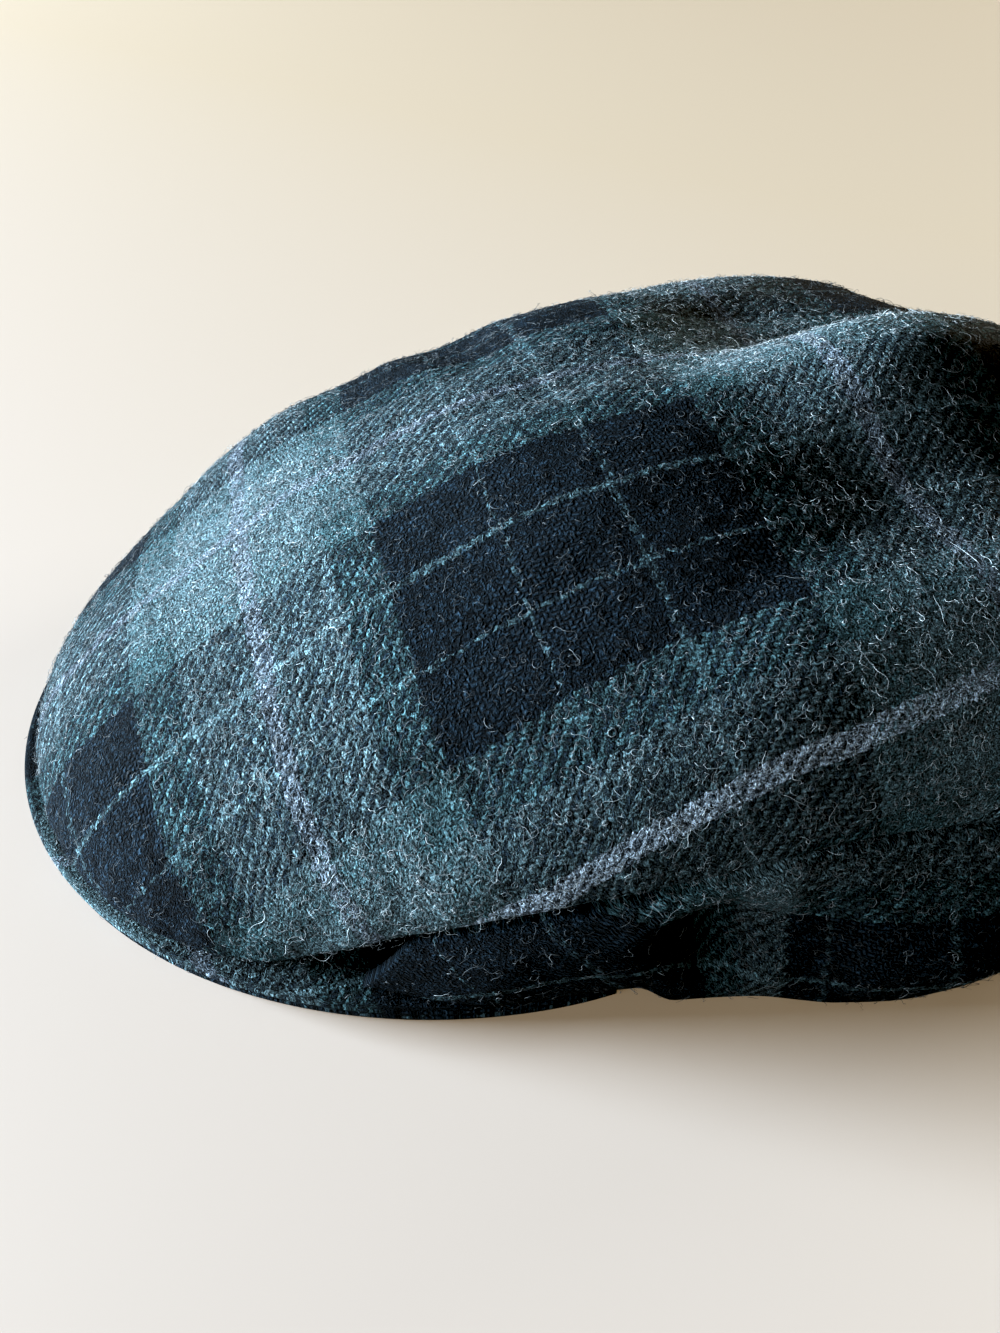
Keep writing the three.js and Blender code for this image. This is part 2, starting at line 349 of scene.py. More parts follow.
def top_panel_place(s, t, layer):
    """Points of the top panel, with its folded edge, its puckers and its lumps."""
    u, v = disc(s, t)
    points = dome(u, v, layer * CLOTH)
    radius = np.minimum(np.hypot(u, v), 1)
    outward = np.stack([u / MEAN_HALF_WIDTH, v / DOME_HALF_LENGTH, 0 * u], axis=-1)
    outward /= np.maximum(np.linalg.norm(outward, axis=-1), 1e-9)[:, None]
    above_seam = points[:, 2] - seam_height(points[:, 1])
    around = np.arctan2(v, u)
    waves = np.sin(PUCKERS_ROUND * around + 3 * np.sin(5 * around))
    pucker = PUCKER * waves * np.exp(-((above_seam - PUCKER_ABOVE) / PUCKER_REACH) ** 2)
    fold = rolled_in(above_seam, edge_roll(points[:, 1])) * (1 - layer)
    points += outward * (pucker - fold)[:, None]
    normal = outward * (radius**3)[:, None] + np.array([0, 0, 1]) * (1 - radius**3)[:, None]
    uneven = TOP_LUMP * lumps(points[:, 0], points[:, 1]) * (1 - radius**6)
    return points + normal * uneven[:, None]


def top_panel_cloth(s, t):
    return cloth_on_dome(*disc(s, t))


top_panel = shaped_panel("crown_top", (150, 150), top_panel_place, top_panel_cloth, False)

# %% [markdown]
# Each side panel is a crescent that starts as a point beside the peak and meets its twin at the centre
# back. Its upper edge follows the seam loop, its lower edge is a turned-up hem that lies on the peak in
# front and on the table behind. The tuck over the hem and the pouch behind it are what the cap's own
# weight has pressed in.

# %% Sizes of the side panels
SIDE_FRONT = 65
HEM_LEAVES_PEAK = 99
HEM_ON_SURFACE = 106
SIDE_ROWS = {
    "section": (0, 0.1, 0.2, 0.3, 0.36, 0.42, 0.56, 0.72, 0.86, 1, 1.14),
    "out": (75, 84.5, 88, 93, 98.5, 101, 98, 80, 46, 0, -46),
    "back": (56, 75, 97, 119, 132, 147, 183, 224, 253, 264, 253),
    "swell": (1, 2, 3.5, 4, 3.5, 3.5, 5, 6.5, 7.5, 8, 7.5),
}
LEFT_FOLDS = {
    "tuck over the hem": {"back": 113, "half_back": 17, "depth": 0.5, "half_depth": 0.42, "out": -8},
    "crease": {"back": 128, "half_back": 9, "depth": 0.5, "half_depth": 0.5, "out": -3},
    "pouch": {"back": 150, "half_back": 28, "depth": 0.68, "half_depth": 0.4, "out": 3},
}
RIGHT_FOLDS = {
    "tuck over the hem": {"back": 122, "half_back": 20, "depth": 0.5, "half_depth": 0.42, "out": -5},
    "pouch": {"back": 164, "half_back": 30, "depth": 0.6, "half_depth": 0.4, "out": 2.5},
}


def seam_points(side, section):
    """The side panel's upper edge, from 0 at its front corner to 1 at the centre back."""
    front = np.arccos((DOME_MIDDLE - SIDE_FRONT) / DOME_HALF_LENGTH)
    angle = front + (np.pi - front) * section
    v = -np.cos(angle)
    back = DOME_MIDDLE + DOME_HALF_LENGTH * v
    return np.stack([loop_half_width(side, v) * np.sin(angle), back, seam_height(back) - GAP], axis=-1)


def hem_points(section):
    """The side panel's lower edge: on the peak in front, on the table behind."""
    back = read_table(SIDE_ROWS, "back", section)
    t = np.clip((back - HEM_LEAVES_PEAK) / (HEM_ON_SURFACE - HEM_LEAVES_PEAK), 0, 1)
    lowered = t * t * (3 - 2 * t)
    return np.stack([read_table(SIDE_ROWS, "out", section), back, ON_PEAK * (1 - lowered)], axis=-1)


def outward_of_side(side, section):
    """Level directions that point out of the cap."""
    step = 0.02
    after = seam_points(side, section + step) + hem_points(section + step)
    before = np.maximum(section - step, 0)
    run = after - seam_points(side, before) - hem_points(before)
    direction = np.stack([run[:, 1], -run[:, 0], 0 * section], axis=-1)
    return direction / np.linalg.norm(direction, axis=-1)[:, None]


centre_back = hem_points(np.ones(1))[0]
print("hem at the centre back:", round(centre_back[1]), "mm behind the tip")

# %% [markdown]
# The grid runs from the front corner to the centre back and from the seam down to the hem. The upper edge
# rolls in to the seam, and the hem is a fold of doubled cloth, so its lower edge is round on both faces.
# The plaid on the sides is cut straight along the hem, so its cloth is measured along the panel and down
# from the seam.

# %% Side panels
HEM_ROLL = 1.5
SIDE_LUMP = 0.35


def side_panel_place(side, folds):
    """A function that places a side panel's grid, with its swell, its folds and its two rolled edges."""

    def place(s, t, layer):
        section = (s + 1) / 2
        depth = (1 - t) / 2
        seam = seam_points(side, section)
        hem = hem_points(section)
        points = seam + (hem - seam) * depth[:, None]
        tall = np.linalg.norm(hem - seam, axis=-1)
        swell = read_table(SIDE_ROWS, "swell", section) * 4 * depth * (1 - depth)
        for fold in folds.values():
            along = (points[:, 1] - fold["back"]) / fold["half_back"]
            swell += fold["out"] * bump(along, (depth - fold["depth"]) / fold["half_depth"])
        swell += SIDE_LUMP * lumps(points[:, 1], points[:, 2]) * 4 * depth * (1 - depth)
        wall = layer * (CLOTH + (HEM - CLOTH) * depth**2)
        edge = rolled_in(depth * tall, edge_roll(points[:, 1])) * (1 - layer)
        hem_edge = rolled_in((1 - depth) * tall, HEM_ROLL) * (1 - 2 * layer)
        points += outward_of_side(side, section) * (swell - wall - edge - hem_edge)[:, None]
        points[:, 0] = np.maximum(points[:, 0], 0) + GAP / 2
        if side == "right":
            points[:, 0] *= -1
        return points

    return place


# %% Flat cloth of the side panels
SIDE_STEPS = (220, 30)
SIDE_RUN = np.linspace(0, 1, 241)
PLAID_ON_SIDE = {
    "start": 52.6,
    "ease": 1.09,
    "slant": 0.5,
    "slant_from": 7,
    "drop": 17,
    "straight_from": 95,
    "straight_to": 128,
}


def run_along(curve):
    """Distance along a curve of points, in millimetres."""
    return np.concatenate([[0], np.cumsum(np.linalg.norm(np.diff(curve, axis=0), axis=-1))])


def side_panel_cloth(side):
    """A function that gives the flat cloth of a side panel's grid, which slants in front of the tuck."""
    seam_run = SIDE_FRONT + run_along(seam_points(side, SIDE_RUN))
    hem_run = SIDE_ROWS["back"][0] + run_along(hem_points(SIDE_RUN))
    plaid = PLAID_ON_SIDE

    def cloth_at(s, t):
        section = (s + 1) / 2
        depth = (1 - t) / 2
        down = depth * np.linalg.norm(hem_points(section) - seam_points(side, section), axis=-1)
        at_seam = np.interp(section, SIDE_RUN, seam_run)
        at_hem = np.interp(section, SIDE_RUN, hem_run)
        along = at_seam * (1 - depth) + at_hem * depth
        from_front = (along - plaid["straight_from"]) / (plaid["straight_to"] - plaid["straight_from"])
        from_front = np.clip(from_front, 0, 1)
        slanted = plaid["slant"] * (1 - from_front) * (down - plaid["slant_from"])
        along = (along - plaid["start"] - slanted) * plaid["ease"]
        return np.stack([along, down - plaid["drop"] * from_front], axis=-1)

    return cloth_at


side_left = shaped_panel(
    "side_near", SIDE_STEPS, side_panel_place("left", LEFT_FOLDS), side_panel_cloth("left"), False
)
side_right = shaped_panel(
    "side_far", SIDE_STEPS, side_panel_place("right", RIGHT_FOLDS), side_panel_cloth("right"), True
)

# %% [markdown]
# The crease over the hem swallows some cloth: the plaid that goes in on one side of it isn't the plaid
# that comes out on the other. So the cloth coordinates of all faces behind the crease jump by the width
# that is folded away.

# %% Cloth that the tuck hides
TUCK_AT = 76.5
TUCK_HIDES = 49


def hide_in_tuck(panel):
    """Moves the cloth coordinates of all faces behind the tuck on by the width that it hides."""
    layer = panel.data.uv_layers["cloth"].data
    cloth = np.empty(2 * len(panel.data.loops))
    layer.foreach_get("uv", cloth)
    cloth = cloth.reshape(-1, 4, 2)
    behind = cloth[:, :, 0].mean(axis=1) > (TUCK_AT * PLAID_ON_SIDE["ease"]) * MM
    cloth[behind, :, 0] += TUCK_HIDES * MM
    layer.foreach_set("uv", cloth.ravel())
    print(panel.name, "hides", TUCK_HIDES, "mm of cloth in its tuck")


for panel in (side_left, side_right):
    hide_in_tuck(panel)

# %% [markdown]
# The peak is a flat crescent covered with cloth above and below. The two covers meet at its rim, where
# each is turned in: the upper one shows as a soft round lip and the under one as a darker layer below it.
# Each cover is a plate between the rim and the edge of the head opening, with rows that crowd together
# towards the rim, so that the lip is round. The plaid goes on round the lip, since the cloth does.

# %% Peak covers
PEAK_LENGTH = 97.7
PEAK_HALF_WIDTH = 86.7
PEAK_INNER_BACK = 68
PEAK_INNER_SWEEP = 30
PEAK_INNER_HALF_WIDTH = 84
PEAK_UNDER_INSET = 0.6
PEAK_UNDER_TOP = 2.1
PEAK_TOP_BASE = PEAK_UNDER_TOP + GAP
PEAK_TOP = 4.5
PEAK_PLAID = (58, 56)
PEAK_STEPS = (140, 26)
ROW_CROWDING = 2.2
LIP_FLAT = 0.08
LIP_WIDTH = 1.1
LIP_CLOTH = 2.4


def peak_rows(t):
    """How far a row lies from the rim, from 0 to 1."""
    return ((1 - t) / 2) ** ROW_CROWDING


def peak_outline(inset, s, t):
    """Places on a cover and their distance from its rim."""
    angle = s * np.pi / 2
    inward = peak_rows(t)
    rim_out = (PEAK_HALF_WIDTH - inset) * np.sin(angle)
    rim_back = PEAK_LENGTH - (PEAK_LENGTH - inset) * np.cos(angle)
    inner_out = PEAK_INNER_HALF_WIDTH * np.sin(angle)
    inner_back = PEAK_INNER_BACK + PEAK_INNER_SWEEP * np.sin(angle) ** 2
    out = rim_out + (inner_out - rim_out) * inward
    back = rim_back + (inner_back - rim_back) * inward
    from_rim = inward * np.hypot(inner_out - rim_out, inner_back - rim_back)
    return out, back, from_rim


def peak_cover_place(inset, base, top):
    """A function that places a cover's grid between two heights, with a round lip."""
    half = (top - base) / 2 - LIP_FLAT

    def place(s, t, layer):
        out, back, from_rim = peak_outline(inset, s, t)
        lip = rolled_in(from_rim, half)
        height = np.where(layer == 0, top - lip, base + lip)
        return np.stack([out, back, height], axis=-1)

    return place


def peak_cloth(s, t):
    """Flat cloth of a cover, which goes on over the lip, away from the peak."""
    out, back, from_rim = peak_outline(0, s, t)
    over_lip = LIP_CLOTH * np.clip(1 - from_rim / LIP_WIDTH, 0, 1)
    along = back - over_lip * np.cos(s * np.pi / 2) - PEAK_PLAID[0]
    across = out + over_lip * np.sin(s * np.pi / 2) - PEAK_PLAID[1]
    return np.stack([along, across], axis=-1)


peak_upper = shaped_panel(
    "peak_upper_cover", PEAK_STEPS, peak_cover_place(0, PEAK_TOP_BASE, PEAK_TOP), peak_cloth, True
)
peak_lower = shaped_panel(
    "peak_under_cover", PEAK_STEPS, peak_cover_place(PEAK_UNDER_INSET, 0, PEAK_UNDER_TOP), peak_cloth, True
)

# %% [markdown]
# Each finish below is a node tree, and a tree of arithmetic is hard to read as nodes. One small class
# wraps a socket, so that shader maths can be written as Python expressions, and one method adds every
# other kind of node.

# %% Shader arithmetic
class Value:
    """A number that varies over a surface: arithmetic on it adds Math nodes."""

    def __init__(self, finish, socket):
        self.finish = finish
        self.socket = socket

    def math(self, operation, *others):
        made = self.finish.node("ShaderNodeMath", {"operation": operation}, dict(enumerate((self, *others))))
        return made["Value"]

    def __add__(self, other):
        return self.math("ADD", other)

    def __sub__(self, other):
        return self.math("SUBTRACT", other)

    def __rsub__(self, other):
        return self.math("MULTIPLY", -1).math("ADD", other)

    def __mul__(self, other):
        return self.math("MULTIPLY", other)

    def __truediv__(self, other):
        return self.math("DIVIDE", other)

    def __mod__(self, other):
        return self.math("FLOORED_MODULO", other)

    def __lt__(self, other):
        return self.math("LESS_THAN", other)

    __radd__ = __add__
    __rmul__ = __mul__


class Finish:
    """A material and the one method that adds nodes to it."""

    def __init__(self, name):
        self.material = bpy.data.materials.new(name)
        self.material.use_nodes = True
        self.tree = self.material.node_tree
        self.tree.nodes.clear()

    def node(self, kind, settings, sockets):
        """Adds a node: its settings first, then the values or links of its sockets; gives its outputs."""
        made = self.tree.nodes.new(kind)
        for name, value in settings.items():
            if name == "stops":
                made.color_ramp.interpolation = "CONSTANT"
                for spare in made.color_ramp.elements[1:]:
                    made.color_ramp.elements.remove(spare)
                for i, (position, colour) in enumerate(value):
                    stop = made.color_ramp.elements[0] if i == 0 else made.color_ramp.elements.new(position)
                    stop.position = position
                    stop.color = colour
            else:
                setattr(made, name, value)
        for name, value in sockets.items():
            if isinstance(value, Value):
                self.tree.links.new(value.socket, made.inputs[name])
            else:
                made.inputs[name].default_value = value
        return {output.name: Value(self, output) for output in made.outputs if output.enabled}

    def mix(self, factor, first, second, way="MIX"):
        """Two colours mixed by a factor."""
        settings = {"data_type": "RGBA", "blend_type": way, "clamp_factor": True}
        return self.node("ShaderNodeMix", settings, {0: factor, 6: first, 7: second})["Result"]

    def vector(self, operation, first, second):
        """Arithmetic on two vectors, or on a vector and a scale."""
        sockets = {0: first, "Scale" if operation == "SCALE" else 1: second}
        return self.node("ShaderNodeVectorMath", {"operation": operation}, sockets)["Vector"]

    def joined(self, first, second):
        """Two numbers as a vector."""
        return self.node("ShaderNodeCombineXYZ", {}, {"X": first, "Y": second})["Vector"]

    def noise(self, where, scale, detail):
        """Smooth noise between 0 and 1 at a place."""
        sockets = {"Vector": where, "Scale": scale, "Detail": detail, "Roughness": 0.6}
        return self.node("ShaderNodeTexNoise", {"noise_dimensions": "3D"}, sockets)["Fac"]

    def surface(self, sockets):
        """A Principled surface with these sockets, joined to the output."""
        shader = self.node("ShaderNodeBsdfPrincipled", {}, sockets)
        self.node("ShaderNodeOutputMaterial", {}, {"Surface": shader["BSDF"]})


print("shader helpers ready")

# %% [markdown]
# The cloth is a 2/2 twill: each thread passes over two and under two, and every row is shifted by one,
# which draws the diagonal ribs. Where a pale thread crosses a navy one the cloth looks speckled, where
# like crosses like it is plain. So the plaid is not painted as squares. One chart of thread colours runs
# along the cloth and one across it, and the weave decides at every crossing which of the two threads is
# on top. One row in three has a strong lavender line and the others a soft one. A colour ramp holds 32
# stops, and the navy lines of the middle repeat lie past the edges of every panel, so its navy rows are
# charted as one stripe.

# %% Thread charts of the plaid
THREAD_MM = 0.78
NAVY = (0.0120, 0.0238, 0.0366, 1)
DIM_LINE = (0.056, 0.100, 0.125, 1)
BRIGHT_LINE = (0.084, 0.150, 0.182, 1)
TEAL = (0.060, 0.120, 0.144, 1)
PALE_BLUE = (0.099, 0.159, 0.189, 1)
SOFT_LAVENDER = (0.158, 0.208, 0.262, 1)
LAVENDER = (0.370, 0.480, 0.595, 1)
COLUMN_CHART = (
    (NAVY, 26), (DIM_LINE, 2), (NAVY, 25), (DIM_LINE, 2), (NAVY, 26),
    (TEAL, 13), (PALE_BLUE, 20), (SOFT_LAVENDER, 5), (PALE_BLUE, 20), (TEAL, 12),
)
NAVY_ROWS = (
    (NAVY, 20), (DIM_LINE, 1), (BRIGHT_LINE, 1), (NAVY, 21), (BRIGHT_LINE, 1), (DIM_LINE, 1), (NAVY, 20),
)
NAVY_STRIPE = ((NAVY, 65),)


def pale_rows(line):
    """The pale rows of one repeat, with a line of one colour in their middle."""
    return (TEAL, 13), (PALE_BLUE, 17), (line, 5), (PALE_BLUE, 17), (TEAL, 12)


ROW_CHART = NAVY_ROWS + pale_rows(LAVENDER)
ROW_CHART += NAVY_STRIPE + pale_rows(SOFT_LAVENDER)
ROW_CHART += NAVY_ROWS + pale_rows(SOFT_LAVENDER)


def chart_stops(chart):
    """A chart of (colour, threads) as the stops of a colour ramp over one repeat."""
    total = sum(threads for colour, threads in chart)
    stops = []
    done = 0
    for colour, threads in chart:
        stops.append((done / total, colour))
        done += threads
    return stops, total


print("one repeat:", chart_stops(COLUMN_CHART)[1], "by", chart_stops(ROW_CHART)[1], "threads")

# %% [markdown]
# Wool is spun from dyed fibres that don't match, so no thread has one colour: each float of a thread gets
# its own tone, which drifts along the thread. Wear and steam have pushed the threads about, so the place
# on the cloth is moved by noise first, more in some spots than in others.

# %% Twill
FLOAT_REPEAT = 4
RUBBED_SCALE = 0.035
BEND_SCALE = 0.09
BEND_PUSH = 2.4
RUB_SCALE = 0.6
RUB_PUSH = 14.0
RUB_SPARED = 4.4
DRIFT_ACROSS = 3.7
DRIFT_ALONG = 0.16
DRIFT_TONE = 1.1
CHANCE_TONE = 1.3
TONE_LOSS = 0.05
FLECK_SCALE = 1.7
FLECK_SHOWS = 2.8
FLECK_RISE = 1.6


def moved_about(finish, place, scale, push):
    """A place on the cloth, moved by noise; push is the largest move, in threads."""
    sockets = {"Vector": place, "Scale": scale, "Detail": 2.0}
    wander = finish.node("ShaderNodeTexNoise", {"noise_dimensions": "2D"}, sockets)["Color"]
    centred = finish.vector("SUBTRACT", wander, (0.5, 0.5, 0.5))
    return finish.vector("ADD", place, finish.vector("SCALE", centred, push))


def twill(finish, flat, column_chart, row_chart):
    """The twill at a place in threads: its colour, the paler yarn's dye, the average dye, and its height."""
    rubbed = finish.noise(flat, RUBBED_SCALE, 2.0)
    bent = moved_about(finish, flat, BEND_SCALE, BEND_PUSH)
    moved = moved_about(finish, bent, RUB_SCALE, rubbed * RUB_PUSH - RUB_SPARED)
    place = finish.node("ShaderNodeSeparateXYZ", {}, {"Vector": moved})
    along, across = place["X"], place["Y"]
    column, row = along.math("FLOOR"), across.math("FLOOR")
    column_float = (column + across) % FLOAT_REPEAT
    row_float = (along + row) % FLOAT_REPEAT
    dyes = []
    tones = []
    threads = ((column, across, column_chart, column_float), (row, along, row_chart, row_float))
    for thread, run, chart, floated in threads:
        stops, total = chart_stops(chart)
        in_chart = (thread % total + 0.5) / total
        dye = finish.node("ShaderNodeValToRGB", {"stops": stops}, {0: in_chart})["Color"]
        one_float = finish.joined(thread, (run - floated) * (1 / FLOAT_REPEAT))
        on_plane = {"noise_dimensions": "2D"}
        chance = finish.node("ShaderNodeTexWhiteNoise", on_plane, {"Vector": one_float})["Value"]
        drift = finish.noise(finish.joined(thread * DRIFT_ACROSS, run * DRIFT_ALONG), 1.0, 2.0)
        tone = drift * DRIFT_TONE + chance * chance * CHANCE_TONE - TONE_LOSS
        dyes.append(dye)
        tones.append(finish.mix(1.0, dye, tone, "MULTIPLY"))
    column_on_top = column_float < FLOAT_REPEAT / 2
    flecks = finish.noise(flat, FLECK_SCALE, 4.0)
    shown = (column_on_top + (flecks - 0.5) * FLECK_SHOWS).math("MINIMUM", 1).math("MAXIMUM", 0)
    column_round = 1 - ((along - column) * 2 - 1).math("POWER", 2)
    row_round = 1 - ((across - row) * 2 - 1).math("POWER", 2)
    column_rise = (column_float * (np.pi / 2)).math("SINE")
    row_rise = (row_float * (np.pi / 2) - np.pi).math("SINE")
    height = column_on_top * column_round * column_rise + (1 - column_on_top) * row_round * row_rise
    seen = finish.mix(shown, tones[1], tones[0])
    paler = finish.mix(1.0, *dyes, "LIGHTEN")
    return seen, paler, finish.mix(0.5, *dyes), height + (flecks - 0.5) * FLECK_RISE


# %% [markdown]
# Over the weave lies the nap, a mat of loose curled fibres too fine to model one by one. The contour
# lines of a smooth noise are closed curls of about the right size, so a few such noises, each drawn as
# thin lines and rubbed away in patches, make the mat. It takes the colour of the paler yarn below it,
# bleached, and it stands up in the bump. The gaps of the weave below it are darkened with painted shade.
# On navy yarns the mat is thin and dim.

# %% Napped wool
NAP_LAYERS = (
    {"scale": 0.40, "width": 0.034, "share": 1.0},
    {"scale": 0.66, "width": 0.042, "share": 0.9},
    {"scale": 1.05, "width": 0.055, "share": 0.75},
    {"scale": 1.7, "width": 0.07, "share": 0.55},
)
LAYER_START = 3.1
LAYERS_APART = 7.3
STRAND_EDGE = 0.6


def curled_nap(finish, flat):
    """How much fibre of the nap covers each place of the cloth, from 0 to 1."""
    covered = None
    for number, layer in enumerate(NAP_LAYERS):
        there = finish.vector("ADD", flat, (0.0, 0.0, LAYERS_APART * number + LAYER_START))
        shape = {"Scale": layer["scale"], "Detail": 1.0, "Roughness": 0.4, "Distortion": 0.8}
        sockets = {"Vector": there, **shape}
        contour = finish.node("ShaderNodeTexNoise", {"noise_dimensions": "3D"}, sockets)["Fac"]
        line = (1 - (contour - 0.5).math("ABSOLUTE") / layer["width"]).math("MAXIMUM", 0)
        patches = finish.noise(there, layer["scale"] * 0.7, 1.0)
        kept = (patches * 5 - 2.0).math("MINIMUM", 1).math("MAXIMUM", 0)
        strands = line.math("POWER", STRAND_EDGE) * kept * layer["share"]
        covered = strands if covered is None else covered.math("MAXIMUM", strands)
    return covered


# %% Wool finish
PALE_YARN = 0.146
BARE_NAVY = 0.72
BARE_FALL = 1.5
PAINTED_GAP_SHADE_GAIN = 1.3
BLEACH = (1.9, 1.85, 1.8, 1)
NAP_GREY = (0.046, 0.060, 0.068, 1)
NAP_ON_NAVY = 0.25
GRAIN_SCALE = 1.9
GRAIN_CONTRAST = 4.4
GRAIN_LOSS = 1.2
GRAIN_LEAST = 0.15
NAP_RISE = 1.4
GRAIN_RISE = 1.2
RELIEF = 0.0009


def napped_wool(name, column_chart, row_chart):
    """The whole finish, on the piece's own cloth coordinates."""
    finish = Finish(name)
    cloth = finish.node("ShaderNodeUVMap", {"uv_map": "cloth"}, {})["UV"]
    flat = finish.vector("SCALE", cloth, 1000 / THREAD_MM)
    seen, paler, average, height = twill(finish, flat, column_chart, row_chart)
    brightness = finish.node("ShaderNodeRGBToBW", {}, {"Color": average})["Val"]
    pale = (brightness / PALE_YARN).math("MINIMUM", 1)
    bare = (1 - pale).math("POWER", BARE_FALL) * BARE_NAVY
    covered = ((curled_nap(finish, flat) - bare) / (1 - bare)).math("MAXIMUM", 0)
    # Painted shade: the colour is darkened where the weave lies low, in the gaps between threads.
    painted_gap_shade = (height * 0.9 + 0.25).math("MINIMUM", 1.5).math("MAXIMUM", 0.08)
    below = finish.mix(1.0, seen, painted_gap_shade * PAINTED_GAP_SHADE_GAIN, "MULTIPLY")
    bleached = finish.mix(1.0, paler, BLEACH, "MULTIPLY")
    strands = finish.mix(1.0, bleached, NAP_GREY, "ADD")
    strands = finish.mix(1.0, strands, pale * (1 - NAP_ON_NAVY) + NAP_ON_NAVY, "MULTIPLY")
    fine = finish.noise(flat, GRAIN_SCALE, 3.0)
    grain = (fine * GRAIN_CONTRAST - GRAIN_LOSS).math("MAXIMUM", GRAIN_LEAST)
    colour = finish.mix(1.0, finish.mix(covered, below, strands), grain, "MULTIPLY")
    raised = height + covered * NAP_RISE + fine * GRAIN_RISE
    relief = {"Height": raised, "Distance": RELIEF, "Strength": 1.0}
    finish.surface(
        {
            "Base Color": colour,
            "Normal": finish.node("ShaderNodeBump", {}, relief)["Normal"],
            "Roughness": 0.95,
            "Specular IOR Level": 0.05,
            "Sheen Weight": 0.03,
            "Sheen Roughness": 0.5,
            "Sheen Tint": (0.70, 0.85, 1.0, 1),
        }
    )
    print(name, "has", len(finish.tree.nodes), "nodes")
    return finish.material


wool = napped_wool("plaid_wool", COLUMN_CHART, ROW_CHART)
for panel in (top_panel, side_left, side_right, peak_upper):
    panel.data.materials.append(wool)

# %% [markdown]
# The under cover of the peak is cut from the same weave in one dark colour.

# %% Plain wool under the peak
PLAIN_CHART = ((NAVY, 3), (DIM_LINE, 1))
peak_lower.data.materials.append(napped_wool("peak_under_wool", PLAIN_CHART, PLAIN_CHART))

# %% [markdown]
# Tweed is hairy: loose ends of fibre stand off every thread, curl and lie across the weave. They are what
# makes this cloth look like wool, and they soften the cap's outline. A particle system would leave them
# out of a model that is carried elsewhere, so each fibre is a thin three-sided tube. Thousands of them
# share one formula, so their corners are worked out together as arrays, and each patch of fibres becomes
# one joined mesh. More of them root in the pale yarns than in the navy ones.

# %% Paths of loose fibres
FIBRE_RADIUS = 0.055
ROOTS_IN_NAVY = 0.25
SHORTEST_SHARE = 0.35
WAVER = 1.2
LIFT_SPREAD = 0.16
ARCHED_SHARE = 0.6
CLEAR_OF_CLOTH = 0.04


def outer_face(panel):
    """Triangles on a panel's outer face: their corners in metres, and their places on the flat cloth."""
    mesh = panel.data
    mesh.calc_loop_triangles()
    corners = np.empty(3 * len(mesh.vertices))
    mesh.vertices.foreach_get("co", corners)
    inner = np.empty(len(mesh.vertices))
    mesh.attributes["inner_face"].data.foreach_get("value", inner)
    cloth = np.empty(2 * len(mesh.loops))
    mesh.uv_layers["cloth"].data.foreach_get("uv", cloth)
    triangles = np.empty(3 * len(mesh.loop_triangles), int)
    mesh.loop_triangles.foreach_get("vertices", triangles)
    loops = np.empty(3 * len(mesh.loop_triangles), int)
    mesh.loop_triangles.foreach_get("loops", loops)
    triangles = triangles.reshape(-1, 3)
    outer = inner[triangles].max(axis=1) < 0.5
    flat_places = cloth.reshape(-1, 2)[loops.reshape(-1, 3)[outer]].mean(axis=1)
    return corners.reshape(-1, 3)[triangles[outer]], flat_places


def unit(vectors):
    """The same directions, one long."""
    return vectors / np.maximum(np.linalg.norm(vectors, axis=-1, keepdims=True), 1e-12)


def paleness(cloth):
    """How pale the crossing yarns are at places on the flat cloth: 0 is all navy, 1 all pale blue."""
    pale = 0
    for chart, distance in ((COLUMN_CHART, cloth[:, 0]), (ROW_CHART, cloth[:, 1])):
        stops, total = chart_stops(chart)
        thread = np.floor(distance / (THREAD_MM * MM)) % total / total
        starts = [position for position, colour in stops]
        greens = np.array([colour[1] for position, colour in stops])
        pale = pale + greens[np.searchsorted(starts, thread, side="right") - 1]
    return np.clip(pale / (2 * PALE_BLUE[1]), 0, 1)


def fibre_paths(panel, count, points, longest, turns, random):
    """Curled centre lines over a panel, the way out of the panel at each root, and the cloth there."""
    corners, cloth = outer_face(panel)
    crossed = np.cross(corners[:, 1] - corners[:, 0], corners[:, 2] - corners[:, 0])
    areas = np.linalg.norm(crossed, axis=-1)
    chances = areas * (ROOTS_IN_NAVY + (1 - ROOTS_IN_NAVY) * paleness(cloth))
    picked = random.choice(len(areas), count, p=chances / chances.sum())
    first, second = random.random((2, count, 1))
    root = np.sqrt(first)
    spot = corners[picked, 0] * (1 - root)
    spot += corners[picked, 1] * root * (1 - second) + corners[picked, 2] * root * second
    normal = unit(crossed[picked])
    side = unit(np.cross(normal, random.normal(size=(count, 3))))
    other = np.cross(normal, side)
    step = np.arange(points) / (points - 1)
    reach = random.uniform(SHORTEST_SHARE, 1.0, (count, 1)) * longest * MM / (points - 1)
    heading = random.normal(0, turns, (count, 1)) * 2 * np.pi * step
    heading = heading + random.normal(0, WAVER, (count, 1)) * np.sin(7 * step + 6 * first)
    go_side = np.cumsum(np.cos(heading) * reach, axis=1) - reach
    go_other = np.cumsum(np.sin(heading) * reach, axis=1) - reach
    lift = random.gamma(2.0, LIFT_SPREAD, (count, 1)) * MM
    arched = random.random((count, 1)) < ARCHED_SHARE
    rise = lift * np.where(arched, np.sin(np.pi * step), step**1.3) + CLEAR_OF_CLOTH * MM
    path = spot[:, None] + side[:, None] * go_side[..., None] + other[:, None] * go_other[..., None]
    path += normal[:, None] * rise[..., None]
    path[..., 2] = np.maximum(path[..., 2], 2 * FIBRE_RADIUS * MM)
    return path, normal, cloth[picked]


print("fibres are", 2 * FIBRE_RADIUS, "mm thick")

# %% Patches of fibres
TAPER = 0.7
TINT_IN_NAVY = 0.10
CURLS = {"points": 9, "longest": 6.0, "turns": 1.0}
NAP = {"points": 5, "longest": 2.6, "turns": 0.4}


